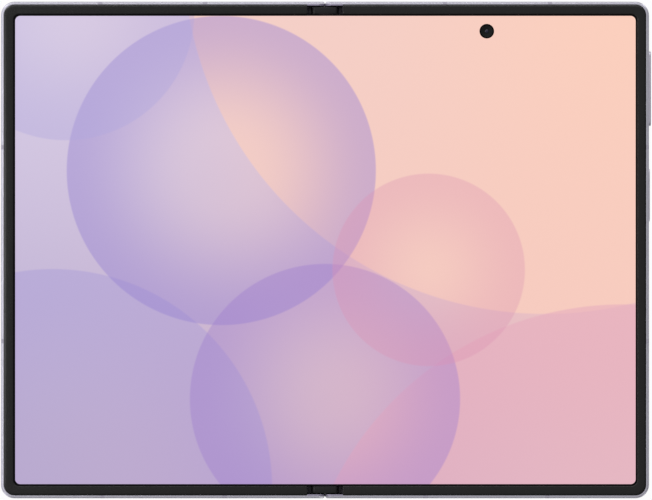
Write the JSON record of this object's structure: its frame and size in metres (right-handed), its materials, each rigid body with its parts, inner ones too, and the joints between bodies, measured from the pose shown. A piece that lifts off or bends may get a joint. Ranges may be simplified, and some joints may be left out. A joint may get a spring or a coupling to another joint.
{
  "type": "smartphone",
  "caption": "Book-style foldable smartphone, opened flat, with a geared hinge, raised dark bezel, inner screen and rear camera island",
  "frame": {"origin": "bottom centre of the opened body: X and Y at the middle of the box, Z = 0 at the face of the camera rings, the lowest level", "axes": "+X across the fold towards the half with the keys, +Y along the fold towards the screen camera, +Z out of the inner screen"},
  "size_m": [0.1619, 0.1238, 0.0063],
  "materials": {
    "frame_metal": "satin anodised",
    "bezel": "soft dark plastic",
    "band": "matte",
    "back_glass": "matte glass, opaque",
    "island": "satin",
    "ring": "turned",
    "dark_glass": "polished, opaque",
    "module": "matte",
    "flash": "diffuse",
    "screen": "glossy, lit screen",
    "battery": "foil wrapped",
    "board": "solder mask",
    "can": "drawn sheet",
    "steel": "machined",
    "copper": "copper colour",
    "brass": "plain",
    "spine": "satin anodised",
    "cap": "satin"
  },
  "bodies": {
    "right_half": {"right_frame": "frame_metal", "right_bezel": "bezel", "right_antenna_bands": "band", "rear_glass": "back_glass", "camera_island": "island", "camera_lens_rings": "ring", "camera_lens_glass": "dark_glass", "rear_camera_modules": "module", "flash_lens": "flash", "display_right": "screen", "inner_camera": "dark_glass", "right_battery": "battery", "main_board": "board", "shield_cans": "can", "usb_board": "board", "usb_shell": "steel", "usb_tongue": "module", "bottom_speaker": "module", "haptic_motor": "can", "vapor_chamber": "copper", "charging_coil": "copper", "key_switches": "can", "right_magnets": "steel", "right_hinge_arms": "steel", "right_hinge_screws": "steel"},
    "spine": {"spine_cover": "spine", "spine_end_caps": "cap", "hinge_brackets": "steel", "left_shaft": "steel", "right_shaft": "steel", "idler_pins": "steel", "disc_springs": "steel", "shaft_collars": "steel", "display_fold": "screen"},
    "left_half": {"left_frame": "frame_metal", "left_bezel": "bezel", "left_antenna_bands": "band", "cover_glass": "dark_glass", "cover_display": "module", "cover_camera": "module", "display_left": "screen", "left_battery": "battery", "left_board": "board", "top_speaker": "module", "left_magnets": "steel", "left_hinge_arms": "steel", "left_hinge_screws": "steel"},
    "right_idlers": {"right_idler_gears": "brass"},
    "left_idlers": {"left_idler_gears": "brass"},
    "right_wing": {"right_wing_plate": "steel"},
    "left_wing": {"left_wing_plate": "steel"},
    "volume": {"volume_key": "frame_metal"},
    "power": {"power_key": "frame_metal", "fingerprint_sensor": "dark_glass"},
    "tray": {"sim_tray": "frame_metal"}
  },
  "joints": [
    {"name": "fold", "type": "hinge", "parent": "right_half", "child": "spine", "pos_m": [0.00235, 0, 0.004], "axis": [0, 1, 0], "range_deg": [0, 90], "deforming": ["display_fold"]},
    {"name": "fold_left", "type": "hinge", "parent": "spine", "child": "left_half", "pos_m": [-0.00235, 0, 0.004], "axis": [0, 1, 0], "range_deg": [0, 90]},
    {"name": "right_idler_turn", "type": "hinge", "parent": "spine", "child": "right_idlers", "pos_m": [0.0008, 0, 0.0036], "axis": [0, 1, 0], "range_deg": [0, 90]},
    {"name": "left_idler_turn", "type": "hinge", "parent": "spine", "child": "left_idlers", "pos_m": [-0.0008, 0, 0.0036], "axis": [0, 1, 0], "range_deg": [-90, 0]},
    {"name": "right_wing_tilt", "type": "hinge", "parent": "right_half", "child": "right_wing", "pos_m": [0.008, 0, 0.00495], "axis": [0, 1, 0], "range_deg": [-14, 0]},
    {"name": "left_wing_tilt", "type": "hinge", "parent": "left_half", "child": "left_wing", "pos_m": [-0.008, 0, 0.00495], "axis": [0, 1, 0], "range_deg": [0, 14]},
    {"name": "volume_rock", "type": "hinge", "parent": "right_half", "child": "volume", "pos_m": [0.07915, 0.0402, 0.00375], "axis": [0, 0, 1], "range_deg": [-1, 1], "stiffness_Nm_per_rad": 0.3},
    {"name": "power_press", "type": "slide", "parent": "right_half", "child": "power", "axis": [-1, 0, 0], "range_m": [0, 0.0002], "stiffness_N_per_m": 3000},
    {"name": "tray_slide", "type": "slide", "parent": "left_half", "child": "tray", "axis": [-1, 0, 0], "range_m": [0, 0.018]}
  ],
  "couplings": [
    {"joint": "fold_left", "follows": "fold", "ratio": 1},
    {"joint": "right_idler_turn", "follows": "fold", "ratio": 1},
    {"joint": "left_idler_turn", "follows": "fold", "ratio": -1},
    {"joint": "right_wing_tilt", "follows": "fold", "ratio": -0.1555},
    {"joint": "left_wing_tilt", "follows": "fold", "ratio": 0.1555}
  ]
}
